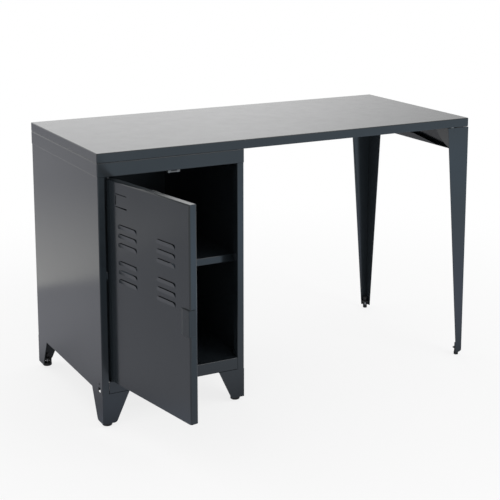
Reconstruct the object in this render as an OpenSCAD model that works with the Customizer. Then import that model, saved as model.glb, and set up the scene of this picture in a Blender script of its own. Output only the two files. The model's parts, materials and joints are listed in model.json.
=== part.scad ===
/* [Overall] */
// Width of the desk over the tabletop
desk_w = 1200; // [1050:10:1500]
// Depth of the desk over the tabletop
desk_d = 546; // [500:2:650]
// Height of the tabletop above the floor, feet screwed in
desk_h = 756; // [700:1:800]
// Width of the cabinet cap
cabinet_w = 431; // [380:1:480]

/* [Sheet steel] */
// Thickness of the tabletop, cap and cabinet sheet
sheet_t = 1.2; // [1:0.1:1.5]
// Thickness of the leg plate
leg_t = 2; // [1.5:0.1:3]
// Thickness of the rail sheet
rail_t = 1.5; // [1.2:0.1:2]
// Outer radius of the folds in the cabinet sheet
fold_r = 2.4; // [2:0.1:3]
// Outer radius of the tabletop's and cap's upright corners
corner_r = 3; // [2:0.5:6]

/* [Tabletop] */
// Height of the tabletop's folded edge
top_h = 25.5; // [20:0.5:35]
// Width of the return lip under the tabletop's edge
top_return = 24; // [18:1:34]
// Height of the stiffening channels under the tabletop
stiffener_h = 20; // [12:1:20]
// Width of a stiffening channel without its flanges
stiffener_w = 50; // [30:2:80]
// Width of the stiffening channels' flanges
stiffener_flange = 16; // [10:1:25]
// Distance of each stiffening channel from the desk's middle line
stiffener_y = 120; // [90:5:160]
// Distance of a stiffening channel's end from the tabletop's end
stiffener_end = 40; // [30:5:100]

/* [Cabinet] */
// Height of the cap band under the tabletop
cap_h = 39; // [30:1:50]
// Depth of the lip under the cap, left, right and back
cap_return = 20; // [16:1:30]
// Depth of the lip under the cap's front band
cap_front_return = 44; // [40:1:60]
// How far the cap stands out past the carcass
cap_proud = 1; // [0.5:0.1:2]
// Height of the carcass bottom above the floor
case_z = 94; // [80:1:110]
// Width of the front stiles
stile_w = 20.5; // [18:0.5:30]
// Depth of the return behind each stile
jamb_d = 24; // [18:1:26]
// Width of the other folded lips of the carcass
case_lip = 16; // [12:1:20]
// Height of the plinth under the door opening
plinth_h = 35; // [25:1:60]
// Gap at each end of the plinth
plinth_seam = 0.5; // [0.3:0.1:1]
// Distance of the floor's side lips from its front and back edge
floor_lip_end = 10; // [6:1:20]
// Clearance of loose sheet parts inside the carcass
case_gap = 0.3; // [0.2:0.1:0.5]
// Radius of the round hole low in each side panel
side_hole_r = 3.75; // [3:0.25:5]
// Height of that hole above the carcass bottom
side_hole_z = 25.5; // [20:0.5:30]
// Distance of hole and notch from the carcass front
side_hole_y = 21.5; // [18:0.5:30]
// Width of the notch below the hole
notch_w = 15; // [10:1:16]
// Height of the notch below the hole
notch_h = 15; // [8:1:16]

/* [Shelf] */
// Height of the shelf's top above the floor
shelf_z = 419.5; // [300:1:520]
// Height of the shelf's folded lips
shelf_lip = 22; // [15:1:30]
// Distance of the shelf's front from the carcass front
shelf_back = 50; // [45:1:90]
// Gap at each end of the shelf
shelf_gap = 0.5; // [0.3:0.1:1]
// Width of a shelf clip
clip_w = 20; // [12:1:30]
// Length of a shelf clip's tongue
clip_l = 14; // [10:1:20]
// Height of a shelf clip
clip_h = 18; // [12:1:22]
// Thickness of a shelf clip
clip_t = 1.5; // [1:0.1:2]
// Distance of the shelf clips from the shelf's front and back
clip_in = 40; // [30:1:80]

/* [Door] */
// Angle at which the door stands open
door_open = 80; // [0:1:110]
// Thickness of the door over its folded edges
door_t = 22.5; // [20:0.5:24]
// Gap beside the door's hinge edge
door_gap_hinge = 2; // [1.5:0.1:3]
// Gap beside the door's free edge
door_gap_free = 3; // [2.8:0.1:5]
// Gap above the door
door_gap_top = 4; // [3:0.1:6]
// Gap below the door
door_gap_bottom = 2.5; // [2:0.1:5]
// Width of the lip behind the door's edges
door_lip = 12; // [8:0.5:16]
// Distance of the pivot from the door's hinge edge
pivot_side = 8.1; // [7.5:0.1:10]
// Distance of the pivot behind the door's face
pivot_back = 4.2; // [4:0.1:8]
// Radius of the pivot pins
pin_r = 2; // [1.5:0.1:2]
// Running clearance of the pivot pins in their bushes
pin_gap = 0.06; // [0.04:0.01:0.1]
// Wall of the pivot bushes
bush_wall = 0.6; // [0.5:0.1:0.6]
// Radius of the pivot pins' heads
pin_head_r = 2.8; // [2.5:0.1:2.8]
// Thickness of the pivot pins' heads
pin_head_h = 2; // [1:0.2:3]
// Reach of the pivot pins into the door
pin_reach = 12; // [8:1:20]
// Radius of the collars between door and carcass
collar_r = 3.8; // [3.2:0.1:4]
// Play between a collar and the door's bush
collar_gap = 0.3; // [0.2:0.1:0.5]
// Width of the upright stiffener inside the door
door_rib_w = 50; // [30:1:60]
// Depth of the upright stiffener inside the door
door_rib_d = 16; // [10:1:18]
// Middle of the upright stiffener from the hinge edge
door_rib_u = 194; // [180:1:200]

/* [Door openwork] */
// Width of a louvre in the column beside the hinge
louvre_w1 = 87; // [60:1:95]
// Width of a louvre in the column beside the handle
louvre_w2 = 81; // [60:1:90]
// Distance of the first louvre column from the hinge edge
louvre_u1 = 61; // [50:1:65]
// Distance of the second louvre column from the hinge edge
louvre_u2 = 240; // [230:1:250]
// Height of the upper louvres above the door's foot
louvre_high = 444.5; // [400:0.5:450]
// Height of the lower louvres above the door's foot
louvre_low = 347; // [320:0.5:350]
// Height step between the louvres of a group
louvre_step = 24.5; // [20:0.5:28]
// Height of a louvre's pressed flap
louvre_h = 12; // [8:0.5:14]
// How far a louvre's flap is pressed out
louvre_out = 3.5; // [2.5:0.5:6]
// Radius at a louvre's two upper corners
louvre_r = 9; // [5:0.5:10]
// Width of the slit that is cut round a louvre's flap
louvre_slit = 0.8; // [0.6:0.1:1.5]
// Distance of the card holder's slits from the hinge edge
card_u = 49; // [35:1:52]
// Width of the card holder
card_w = 55; // [40:1:70]
// Height of the card holder
card_h = 34; // [25:1:40]
// Height of the card holder's lower slit above the door's foot
card_z = 488.5; // [480:0.5:505]
// Width of the card holder's slits
card_slit = 2; // [1.5:0.1:3]

/* [Handle and catch] */
// Width of the handle plate on the door's face
handle_w = 39; // [30:1:50]
// Height of the handle plate
handle_h = 67; // [50:1:90]
// Height of the handle's foot above the door's foot
handle_z = 226.5; // [200:0.5:260]
// Width of the handle's sloped strip
handle_slope_w = 13; // [10:1:25]
// Thickness of the handle at its grip
handle_t = 4.5; // [2.5:0.1:5]
// Thickness of the handle's sloped strip at its thin edge
handle_thin = 0.8; // [0.5:0.1:1.5]
// Thickness of the handle where it wraps the door's edge
handle_wrap = 2; // [1:0.1:2]
// Depth of the handle's wrap round the door's edge
handle_wrap_d = 16; // [8:0.5:18]
// Radius of the handle's rivets
rivet_r = 2.4; // [1.5:0.1:3]
// Width of the magnetic catch
catch_w = 35; // [33:1:50]
// Depth of the magnetic catch
catch_d = 13; // [10:1:15]
// Drop of the magnetic catch below the cap
catch_h = 11.5; // [9:0.5:12]
// Distance of the catch's middle from the carcass's middle
catch_x = 14.7; // [-40:0.1:40]
// Gap between the catch and the closed door's keeper
catch_gap = 0.5; // [0.4:0.1:1.5]
// Thickness of the keeper plate
keeper_t = 1.2; // [1:0.1:2]
// Length of the magnet
magnet_w = 18; // [10:1:20]
// Height of the magnet
magnet_h = 5; // [4:0.5:7]

/* [Cabinet legs] */
// Width of a cabinet leg at its head
cab_leg_w = 78; // [60:1:95]
// Width of a cabinet leg at its foot
cab_leg_foot_w = 40; // [30:1:50]
// Height of the cabinet legs' lower edges above the floor
leg_z = 10; // [8:0.5:12]
// Radius at the cabinet leg's lower outer corner
cab_leg_r = 10; // [4:1:14]
// Bolt radius in the cabinet legs
leg_bolt_r = 3; // [2.5:0.5:4]
// Distance of the leg bolts from the leg's two outer faces
leg_bolt_in = 10; // [9:0.5:13]
// Distance of the leg bolts along the leg's head
leg_bolt_along = 55; // [45:1:65]

/* [Tall legs] */
// Width of a tall leg's front flange at its head
tall_leg_w = 75; // [60:1:95]
// Width of a tall leg's side flange at its head
tall_leg_d = 80; // [60:1:95]
// Width of a tall leg's front flange at its foot
tall_foot_w = 20; // [20:1:30]
// Width of a tall leg's side flange at its foot
tall_foot_d = 24.5; // [20:0.5:30]
// Height of the tall legs' lower edges above the floor
tall_leg_z = 10; // [8:0.5:12]
// Width of the corner cut off at the foot of a tall leg's fold
tall_cut_w = 10; // [6:0.5:12]
// Height of that cut
tall_cut_h = 6; // [3:0.5:8]
// Depth of the leg's head return
ear_d = 60; // [45:1:70]
// Height of the leg's head return at the flange
ear_h = 59; // [40:1:75]
// Height of the leg's head return at its tip
ear_tip = 12; // [10:1:20]
// Radius of the lower edge of the leg's head return
ear_r = 109; // [60:1:200]
// Length of the tab that bolts to the tabletop
tab_l = 44; // [35:1:45]
// Depth of that tab
tab_d = 24; // [22:1:30]

/* [Rails] */
// Height of the rails
rail_h = 76.5; // [60:0.5:90]
// Gap between the tabletop and the tall legs with their rails
top_seam = 2; // [1:0.5:4]
// Radius of the spacers in that gap
spacer_r = 9; // [7:0.5:11]
// Width of the rails' flanges
rail_flange = 20; // [14:1:26]
// Height of the lip on the side rail's lower flange, in its middle
rail_lip = 18; // [4:0.5:24]
// Length of that lip at its foot
rail_lip_l = 290; // [200:5:400]
// Length of that lip at its top
rail_lip_top = 40; // [20:5:150]
// Bolt radius in rails and tabs
rail_bolt_r = 3; // [2.5:0.5:4]
// Height of the lower rail bolts above the rail's lower edge
rail_bolt_low = 18; // [14:1:24]
// Height step between the rail bolts
rail_bolt_step = 38; // [30:1:45]
// Distance of the rail bolts from the leg's fold
rail_bolt_in = 32; // [25:1:45]
// Distance of the tabletop's bolts from its front and back
top_bolt_in = 14; // [12:1:16]
// Distance of the tabletop's bolts from the ends of the cap
cap_bolt_side = 60; // [45:1:90]

/* [Feet] */
// Distance of a cabinet leg's levelling screw from the leg's two outer faces
foot_in = 19.5; // [16:0.5:20]
// Distance of a tall leg's levelling screw from the leg's two outer faces
tall_foot_in = 11.5; // [11:0.5:12]
// Radius of the levelling screws
foot_screw_r = 4; // [3:0.5:4]
// Clearance of the levelling screws in their inserts
foot_screw_gap = 0.06; // [0.04:0.01:0.1]
// Length of a levelling screw above its pad
foot_screw_l = 31; // [28:1:45]
// Radius of a glide pad's neck, which is all the pad that a tall leg has
pad_neck_r = 7; // [6:0.5:7.5]
// Height of a glide pad with its neck
pad_h = 10; // [9:0.5:10]
// Radius of the base of a cabinet leg's glide pad
pad_r = 13.5; // [10:0.5:15]
// Height of that base
pad_base_h = 6; // [4:0.5:7]
// Rounding of a glide pad's lower edge
pad_edge_r = 1.5; // [0.5:0.1:2]
// Depth of the screw in its glide pad
pad_socket = 4; // [2:0.5:5]
// Height of the foot inserts above the floor
insert_z = 11; // [11:0.5:16]
// Height of the foot inserts
insert_h = 13; // [10:1:20]
// Thickness of the plate on top of a foot insert, which guides the screw
insert_t = 4; // [3:0.5:6]
// Thickness of a foot insert's two walls
insert_wall = 4; // [2:0.5:4]
// Size of a cabinet leg's foot insert across
insert_w = 26; // [24:1:34]
// Size of a tall leg's foot insert across
tall_insert_w = 17; // [15:1:18]

/* [Fasteners] */
// Head radius of the bolts over their shank
bolt_head_extra = 2.6; // [1.5:0.1:3.5]
// Head height of the bolts
bolt_head_h = 2.8; // [1.5:0.1:4]
// Width across flats of the nuts
nut_af = 10; // [8:0.5:13]
// Height of the nuts
nut_h = 5; // [3:0.5:6.5]
// Length of bolt standing out of its nut
bolt_out = 1.5; // [0.5:0.5:4]
// Clearance of a bolt in its hole
bolt_gap = 0.25; // [0.1:0.05:0.5]

/* [Hidden] */
$fn = 48;

steel = [0.22, 0.245, 0.26];
dark_steel = [0.13, 0.14, 0.15];
zinc = [0.75, 0.76, 0.77];
black_plastic = [0.08, 0.08, 0.08];
grey_plastic = [0.72, 0.72, 0.7];

// Planes of the desk
left_x = -desk_w / 2;
right_x = desk_w / 2;
front_y = -desk_d / 2;
back_y = desk_d / 2;
under_z = desk_h - top_h;
cap_z = under_z - cap_h;
head_z = under_z - top_seam;
cap_right_x = left_x + cabinet_w;

// Planes of the carcass
case_l = left_x + cap_proud;
case_r = cap_right_x - cap_proud;
case_f = front_y + cap_proud;
case_b = back_y - cap_proud;
floor_z = case_z + plinth_h;
open_l = case_l + stile_w;
open_r = case_r - stile_w;
back_panel_y = case_b - sheet_t;

// The closed door
door_l = open_l + door_gap_hinge;
door_w = open_r - door_gap_free - door_l;
door_z = floor_z + door_gap_bottom;
door_h = cap_z - door_gap_top - door_z;
pivot_x = door_l + pivot_side;
pivot_y = case_f + pivot_back;
bush_r = pin_r + pin_gap + bush_wall;
keeper_x = (case_l + case_r) / 2 + catch_x;
catch_y = case_f + door_t + keeper_t + catch_gap;

// The corner that each levelling foot stands in, and the directions into the leg
foot_corners = [
    [case_l, case_f, 1, 1],
    [case_r, case_f, -1, 1],
    [case_l, case_b, 1, -1],
    [case_r, case_b, -1, -1],
    [right_x, front_y, -1, 1],
    [right_x, back_y, -1, -1]
];

// The first four feet are the cabinet's, the last two the tall legs'
function in_cabinet(i) = i < 4;
function foot_inset(i) = in_cabinet(i) ? foot_in : tall_foot_in;

// A bent strip of sheet with square bends: outline points, thickness to the left, outer radius
function heading(a, b) = atan2(b[1] - a[1], b[0] - a[0]);
function turn(a, b, c) = let(d = heading(b, c) - heading(a, b)) d > 180 ? d - 360 : (d < -180 ? d + 360 : d);

module bent_strip(pts, t, r) {
    n = len(pts);
    for (i = [0 : n - 2]) {
        a = pts[i];
        b = pts[i + 1];
        s0 = i == 0 ? 0 : (turn(pts[i - 1], a, b) > 0 ? r : r - t);
        s1 = i == n - 2 ? 0 : (turn(a, b, pts[i + 2]) > 0 ? r : r - t);
        translate(a)
            rotate(heading(a, b))
                translate([s0, 0])
                    square([norm(b - a) - s0 - s1, t]);
    }
    for (i = [1 : n - 2]) {
        left = turn(pts[i - 1], pts[i], pts[i + 1]) > 0;
        h = heading(pts[i - 1], pts[i]);
        s = left ? r : r - t;
        translate(pts[i])
            rotate(h)
                translate([-s, left ? s : -s])
                    rotate(left ? -90 : 0)
                        intersection() {
                            difference() {
                                circle(r);
                                circle(r - t);
                            }
                            square(r + 1);
                        }
    }
}

// A plate with rounded corners, its lower left corner at the origin
module round_rect(w, d, r) {
    translate([r, 0])
        square([w - 2 * r, d]);
    translate([0, r])
        square([w, d - 2 * r]);
    for (x = [r, w - r])
        for (y = [r, d - r])
            translate([x, y])
                circle(r);
}

// A shallow tray that opens downwards, with a lip turned in all round
module tray(w, d, h, t, side_lip, front_lip, r) {
    difference() {
        linear_extrude(h)
            round_rect(w, d, r);
        translate([t, t, t])
            linear_extrude(h - 2 * t)
                round_rect(w - 2 * t, d - 2 * t, r - t);
        translate([side_lip, front_lip, -1])
            cube([w - 2 * side_lip, d - side_lip - front_lip, t + 2]);
    }
}

// A bolt that stands on the plane z = 0 with its shank pointing down
module bolt(r, reach) {
    translate([0, 0, -reach])
        cylinder(h = reach + 0.5, r = r);
    intersection() {
        cylinder(h = bolt_head_h, r = r + bolt_head_extra);
        translate([0, 0, bolt_head_h - 1.6 * (r + bolt_head_extra)])
            sphere(r = 1.6 * (r + bolt_head_extra));
    }
}

// A hexagon nut with its lower face on z = 0
module nut(r) {
    difference() {
        cylinder(h = nut_h, d = nut_af / cos(30), $fn = 6);
        translate([0, 0, -1])
            cylinder(h = nut_h + 2, r = r);
    }
}

// Tabletop

module desk_top() {
    color(steel)
        difference() {
            translate([left_x, front_y, under_z])
                tray(desk_w, desk_d, top_h, sheet_t, top_return, top_return, corner_r);
            tabletop_bolt_places()
                translate([0, 0, -5])
                    cylinder(h = 10, r = rail_bolt_r + bolt_gap);
        }
}

module stiffener_profile() {
    w = stiffener_w;
    h = stiffener_h;
    f = stiffener_flange;
    t = sheet_t;
    translate([-w / 2, -h])
        square([w, t]);
    for (s = [-1, 1])
        translate([s * (w - t) / 2 - t / 2, -h])
            square([t, h]);
    for (s = [-1, 1])
        translate([s * (w + f - t) / 2 - (f + t) / 2, -t])
            square([f + t, t]);
}

module top_channel(side) {
    color(dark_steel)
        translate([left_x + stiffener_end, side * stiffener_y, desk_h - sheet_t])
            rotate([90, 0, 90])
                linear_extrude(desk_w - 2 * stiffener_end)
                    stiffener_profile();
}

module top_stiffener_front() {
    top_channel(-1);
}

module top_stiffener_rear() {
    top_channel(1);
}

// Cabinet

module cabinet_cap() {
    color(steel)
        difference() {
            translate([left_x, front_y, cap_z])
                tray(cabinet_w, desk_d, cap_h, sheet_t, cap_return, cap_front_return, corner_r);
            translate([pivot_x, pivot_y, cap_z - 1])
                cylinder(h = sheet_t + 2, r = pin_r + bolt_gap);
            tabletop_bolt_places()
                translate([0, 0, -5])
                    cylinder(h = 10, r = rail_bolt_r + bolt_gap);
            for (s = [-1, 1])
                translate([keeper_x + s * catch_screw_x, catch_y + catch_d / 2, cap_z - 1])
                    cylinder(h = sheet_t + 2, r = catch_screw_r + bolt_gap);
            back_rail_bolt_places()
                translate([0, 0, -rail_t - sheet_t - 1])
                    cylinder(h = sheet_t + 2, r = rail_bolt_r + bolt_gap);
        }
}

// A side panel with its stile and jamb in front and its lip behind, drawn for the left side
module side_panel() {
    difference() {
        union() {
            translate([0, 0, case_z])
                linear_extrude(cap_z - case_z)
                    bent_strip([[case_l + case_lip, case_b], [case_l, case_b], [case_l, case_f], [open_l, case_f],
                        [open_l, case_f + jamb_d]], sheet_t, fold_r);
            translate([case_l + sheet_t / 2, case_f + jamb_d + 2, cap_z - sheet_t])
                cube([case_lip, case_b - case_f - jamb_d - 2 - fold_r, sheet_t]);
            translate([case_l + sheet_t / 2, case_f + jamb_d + notch_w, case_z])
                cube([case_lip, case_b - case_f - jamb_d - notch_w - fold_r, sheet_t]);
        }
        translate([case_l - 1, case_f + side_hole_y, case_z + side_hole_z])
            rotate([0, 90, 0])
                cylinder(h = sheet_t + 2, r = side_hole_r);
        translate([case_l - 1, case_f + side_hole_y - notch_w / 2, case_z - 1])
            cube([sheet_t + 2, notch_w, notch_h + 1]);
    }
}

module left_side_panel() {
    color(steel)
        difference() {
            side_panel();
            cab_leg_bolt_places()
                translate([0, 0, -5])
                    cylinder(h = 10, r = leg_bolt_r + bolt_gap);
        }
}

module right_side_panel() {
    color(steel)
        difference() {
            translate([case_l + case_r, 0, 0])
                mirror([1, 0, 0])
                    side_panel();
            cab_leg_bolt_places()
                translate([0, 0, -5])
                    cylinder(h = 10, r = leg_bolt_r + bolt_gap);
        }
}

module back_panel() {
    x0 = case_l + fold_r + case_gap;
    lip_x0 = case_l + sheet_t / 2 + case_lip + case_gap;
    color(dark_steel)
        difference() {
            union() {
                translate([x0, back_panel_y - sheet_t, case_z])
                    cube([case_l + case_r - 2 * x0, sheet_t, cap_z - case_z - case_gap]);
                translate([lip_x0, back_panel_y - case_lip, case_z])
                    cube([case_l + case_r - 2 * lip_x0, case_lip, sheet_t]);
            }
            cab_leg_bolt_places()
                translate([0, 0, -5])
                    cylinder(h = 10, r = leg_bolt_r + bolt_gap);
        }
}

module bottom_panel() {
    x0 = case_l + sheet_t;
    x1 = case_r - sheet_t;
    y0 = case_f + jamb_d + case_gap;
    y1 = back_panel_y - sheet_t - case_gap;
    color(steel)
        difference() {
            union() {
                translate([x0, y0, floor_z - sheet_t])
                    cube([x1 - x0, y1 - y0, sheet_t]);
                translate([open_l + plinth_seam, case_f + fold_r, floor_z - sheet_t])
                    cube([open_r - open_l - 2 * plinth_seam, y0 - case_f - fold_r + 1, sheet_t]);
                translate([open_l + plinth_seam, 0, 0])
                    rotate([90, 0, 90])
                        linear_extrude(open_r - open_l - 2 * plinth_seam)
                            bent_strip([[y0, floor_z], [case_f, floor_z], [case_f, case_z],
                                [case_f + case_lip, case_z]], sheet_t, fold_r);
                for (x = [x0, x1 - sheet_t])
                    translate([x, y0 + floor_lip_end, floor_z - case_lip])
                        cube([sheet_t, y1 - y0 - 2 * floor_lip_end, case_lip]);
            }
            translate([pivot_x, pivot_y, floor_z - sheet_t - 1])
                cylinder(h = sheet_t + 2, r = pin_r + bolt_gap);
            cab_leg_bolt_places()
                translate([0, 0, -5])
                    cylinder(h = 10, r = leg_bolt_r + bolt_gap);
        }
}

// Shelf

shelf_y0 = case_f + shelf_back;
shelf_y1 = back_panel_y - sheet_t - shelf_gap;
shelf_x0 = case_l + sheet_t + shelf_gap;
shelf_x1 = case_r - sheet_t - shelf_gap;

module shelf() {
    color(steel)
        translate([shelf_x0, 0, 0])
            rotate([90, 0, 90])
                linear_extrude(shelf_x1 - shelf_x0)
                    bent_strip([[shelf_y1 - 12, shelf_z - shelf_lip], [shelf_y1, shelf_z - shelf_lip], [shelf_y1, shelf_z],
                        [shelf_y0, shelf_z], [shelf_y0, shelf_z - shelf_lip], [shelf_y0 + 12, shelf_z - shelf_lip]],
                        sheet_t, fold_r);
}

module shelf_clips() {
    color(zinc)
        for (s = [-1, 1])
            for (y = [shelf_y0 + clip_in, shelf_y1 - clip_in - clip_w])
                translate([s < 0 ? case_l + sheet_t : case_r - sheet_t, y, shelf_z - sheet_t])
                    mirror([s < 0 ? 0 : 1, 0, 0])
                        union() {
                            translate([0, 0, -clip_h])
                                cube([clip_t, clip_w, clip_h]);
                            translate([0, 0, -clip_t])
                                cube([clip_l, clip_w, clip_t]);
                        }
}

// Catch

catch_screw_r = 1.5;
catch_screw_x = catch_w / 2 - 4.5;

module catch_housing() {
    color(grey_plastic)
        difference() {
            translate([keeper_x - catch_w / 2, catch_y, cap_z - catch_h])
                cube([catch_w, catch_d, catch_h]);
            translate([keeper_x - magnet_w / 2, catch_y - 1, cap_z - catch_h / 2 - magnet_h / 2])
                cube([magnet_w, catch_d / 2 + 1, magnet_h]);
            for (s = [-1, 1])
                translate([keeper_x + s * catch_screw_x, catch_y + catch_d / 2, cap_z - catch_h - 1])
                    cylinder(h = catch_h + 2, r = catch_screw_r + bolt_gap);
        }
}

module catch_magnet() {
    color(dark_steel)
        translate([keeper_x - magnet_w / 2, catch_y + 0.2, cap_z - catch_h / 2 - magnet_h / 2])
            cube([magnet_w, catch_d / 2 - 0.2, magnet_h]);
}

module catch_screws() {
    color(zinc)
        for (s = [-1, 1])
            translate([keeper_x + s * catch_screw_x, catch_y + catch_d / 2, cap_z - catch_h])
                mirror([0, 0, 1])
                    union() {
                        translate([0, 0, -catch_h - sheet_t - 2])
                            cylinder(h = catch_h + sheet_t + 2.5, r = catch_screw_r);
                        cylinder(h = 1.4, r = catch_screw_r + 1.5);
                    }
}

// Pivots

module upper_pivot_pin() {
    color(zinc)
        translate([pivot_x, pivot_y, 0])
            union() {
                translate([0, 0, door_z + door_h - pin_reach])
                    cylinder(h = pin_reach + door_gap_top + sheet_t + 1, r = pin_r);
                translate([0, 0, cap_z + sheet_t])
                    cylinder(h = pin_head_h, r = pin_head_r);
                translate([0, 0, door_z + door_h + bush_flange + collar_gap])
                    cylinder(h = door_gap_top - bush_flange - collar_gap, r = collar_r);
            }
}

module lower_pivot_pin() {
    color(zinc)
        translate([pivot_x, pivot_y, 0])
            union() {
                translate([0, 0, floor_z - fold_r - pin_head_h])
                    cylinder(h = pin_head_h, r = pin_head_r);
                translate([0, 0, floor_z - fold_r - pin_head_h / 2])
                    cylinder(h = pin_head_h / 2 + fold_r + door_gap_bottom + pin_reach, r = pin_r);
                translate([0, 0, floor_z])
                    cylinder(h = door_gap_bottom - bush_flange - collar_gap, r = collar_r);
            }
}

// Legs

// A leg flange in the plane of its width and height: tapered, with its lower outer corner rounded
// and a cut across the foot of the fold
module leg_flange(w_top, w_foot, z0, z1, r, t, cut_w = 0, cut_h = 0) {
    slope = (w_top - w_foot) / (z1 - z0);
    a = atan(slope);
    // The rounding circle touches the lower edge and the sloped edge
    cx = w_foot - r * tan((90 - a) / 2);
    corner = r > 0 ? [[cx, z0], [cx, z0 + r], [cx + r * cos(a), z0 + r - r * sin(a)]] : [[w_foot, z0]];
    fold = cut_h > 0 ? [[0, z0 + cut_h], [cut_w / 3, z0 + cut_h / 3], [cut_w, z0]] : [[0, z0]];
    rotate([90, 0, 0])
        translate([0, 0, -t])
            linear_extrude(t)
                union() {
                    polygon(concat(fold, corner, [[w_top, z1], [0, z1]]));
                    if (r > 0)
                        translate([cx, z0 + r])
                            circle(r);
                }
}

// A cabinet leg for the front left corner, its outer corner at the origin
module cab_leg_shape() {
    head = case_z - leg_t;
    difference() {
        union() {
            leg_flange(cab_leg_w, cab_leg_foot_w, leg_z, head, cab_leg_r, leg_t);
            mirror([1, -1, 0])
                leg_flange(cab_leg_w, cab_leg_foot_w, leg_z, head, cab_leg_r, leg_t);
            translate([0, 0, head])
                linear_extrude(leg_t)
                    difference() {
                        square(cab_leg_w);
                        translate([2 * leg_bolt_in + leg_t, 2 * leg_bolt_in + leg_t])
                            square(cab_leg_w);
                        translate([leg_t, side_hole_y - notch_w / 2])
                            square([2 * leg_bolt_in + 1, 2 * notch_w]);
                    }
        }
        for (p = [[leg_bolt_in, leg_bolt_along], [leg_bolt_along, leg_bolt_in]])
            translate([p[0], p[1], head - 1])
                cylinder(h = leg_t + 2, r = leg_bolt_r + bolt_gap);
    }
}

// The cabinet legs' bolts stand on the carcass lips
module cab_leg_bolt_places() {
    for (i = [0 : 3])
        for (p = [[leg_bolt_in, leg_bolt_along], [leg_bolt_along, leg_bolt_in]])
            translate([foot_corners[i][0] + foot_corners[i][2] * p[0], foot_corners[i][1] + foot_corners[i][3] * p[1], case_z])
                children();
}

// Turns what is drawn for a front left corner to the corner of one of the feet
module at_corner(i) {
    translate([foot_corners[i][0], foot_corners[i][1], 0])
        mirror([foot_corners[i][2] < 0 ? 1 : 0, 0, 0])
            mirror([0, foot_corners[i][3] < 0 ? 1 : 0, 0])
                children();
}

module cab_leg(i) {
    color(steel)
        at_corner(i)
            cab_leg_shape();
}

module cab_leg_front_left() {
    cab_leg(0);
}

module cab_leg_front_right() {
    cab_leg(1);
}

module cab_leg_rear_left() {
    cab_leg(2);
}

module cab_leg_rear_right() {
    cab_leg(3);
}

// A tall leg for a front left corner, its outer corner at the origin
module tall_leg_shape() {
    difference() {
        union() {
            leg_flange(tall_leg_w, tall_foot_w, tall_leg_z, head_z, 0, leg_t, tall_cut_w, tall_cut_h);
            mirror([1, -1, 0])
                leg_flange(tall_leg_d, tall_foot_d, tall_leg_z, head_z, 0, leg_t, tall_cut_w, tall_cut_h);
            tall_leg_ear();
            translate([tall_leg_w - tab_l, leg_t / 2, head_z - leg_t])
                cube([tab_l - leg_t / 2, tab_d - leg_t / 2, leg_t]);
        }
        translate([tall_leg_w - tab_l / 2, top_bolt_in, head_z - leg_t - 1])
            cylinder(h = leg_t + 2, r = rail_bolt_r + bolt_gap);
        for (k = [0, 1])
            translate([-1, rail_bolt_in, rail_z + rail_bolt_low + k * rail_bolt_step])
                rotate([0, 90, 0])
                    cylinder(h = leg_t + 2, r = rail_bolt_r + bolt_gap);
    }
}

// The frame of the return at the leg's head: it follows the front flange's sloping edge
ear_a = atan((tall_leg_w - tall_foot_w) / (head_z - tall_leg_z));

module ear_frame() {
    translate([tall_leg_w, 0, head_z])
        rotate([0, ear_a, 0])
            children();
}

// The return: a plate whose lower edge is an arc from its tip to the front flange
module tall_leg_ear() {
    chord = [-ear_d, ear_tip - ear_h];
    half = norm(chord) / 2;
    rise = sqrt(ear_r * ear_r - half * half);
    centre = [ear_d, -ear_tip] + chord / 2 + rise * [chord[1], -chord[0]] / norm(chord);
    ear_frame()
        translate([-leg_t, 0, 0])
            rotate([90, 0, 90])
                linear_extrude(leg_t)
                    intersection() {
                        translate([0, -ear_h])
                            square([ear_d, ear_h]);
                        translate(centre)
                            circle(ear_r);
                    }
}

module tall_leg(i) {
    color(steel)
        at_corner(i)
            tall_leg_shape();
}

module tall_leg_front() {
    tall_leg(4);
}

module tall_leg_rear() {
    color(steel)
        difference() {
            tall_leg(5);
            back_rail_bolt_places()
                translate([0, 0, -rail_t - leg_t - 1])
                    cylinder(h = leg_t + 2, r = rail_bolt_r + bolt_gap);
        }
}

// Rails

rail_z = head_z - rail_h;
rail_end_in = leg_t + rail_flange / 2;
rail_end_z = cap_z + cap_h / 2;

// The side rail: web outside, flanges turned in, a lip that falls off to both ends on the lower flange
module side_rail() {
    x1 = right_x - leg_t;
    y0 = front_y + leg_t + case_gap;
    y1 = back_y - leg_t - case_gap;
    color(steel)
        difference() {
            union() {
                translate([0, y1, 0])
                    rotate([90, 0, 0])
                        linear_extrude(y1 - y0)
                            bent_strip([[x1 - rail_flange, rail_z], [x1, rail_z], [x1, head_z],
                                [x1 - rail_flange, head_z]], rail_t, fold_r);
                translate([x1 - rail_flange, (y0 + y1) / 2, rail_z])
                    rotate([90, 0, 90])
                        linear_extrude(rail_t)
                            polygon([[-rail_lip_l / 2, 0], [rail_lip_l / 2, 0], [rail_lip_l / 2, rail_t],
                                [rail_lip_top / 2, rail_lip], [-rail_lip_top / 2, rail_lip], [-rail_lip_l / 2, rail_t]]);
            }
            side_rail_bolt_places()
                translate([0, 0, -leg_t - rail_t - 1])
                    cylinder(h = rail_t + 2, r = rail_bolt_r + bolt_gap);
        }
}

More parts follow.
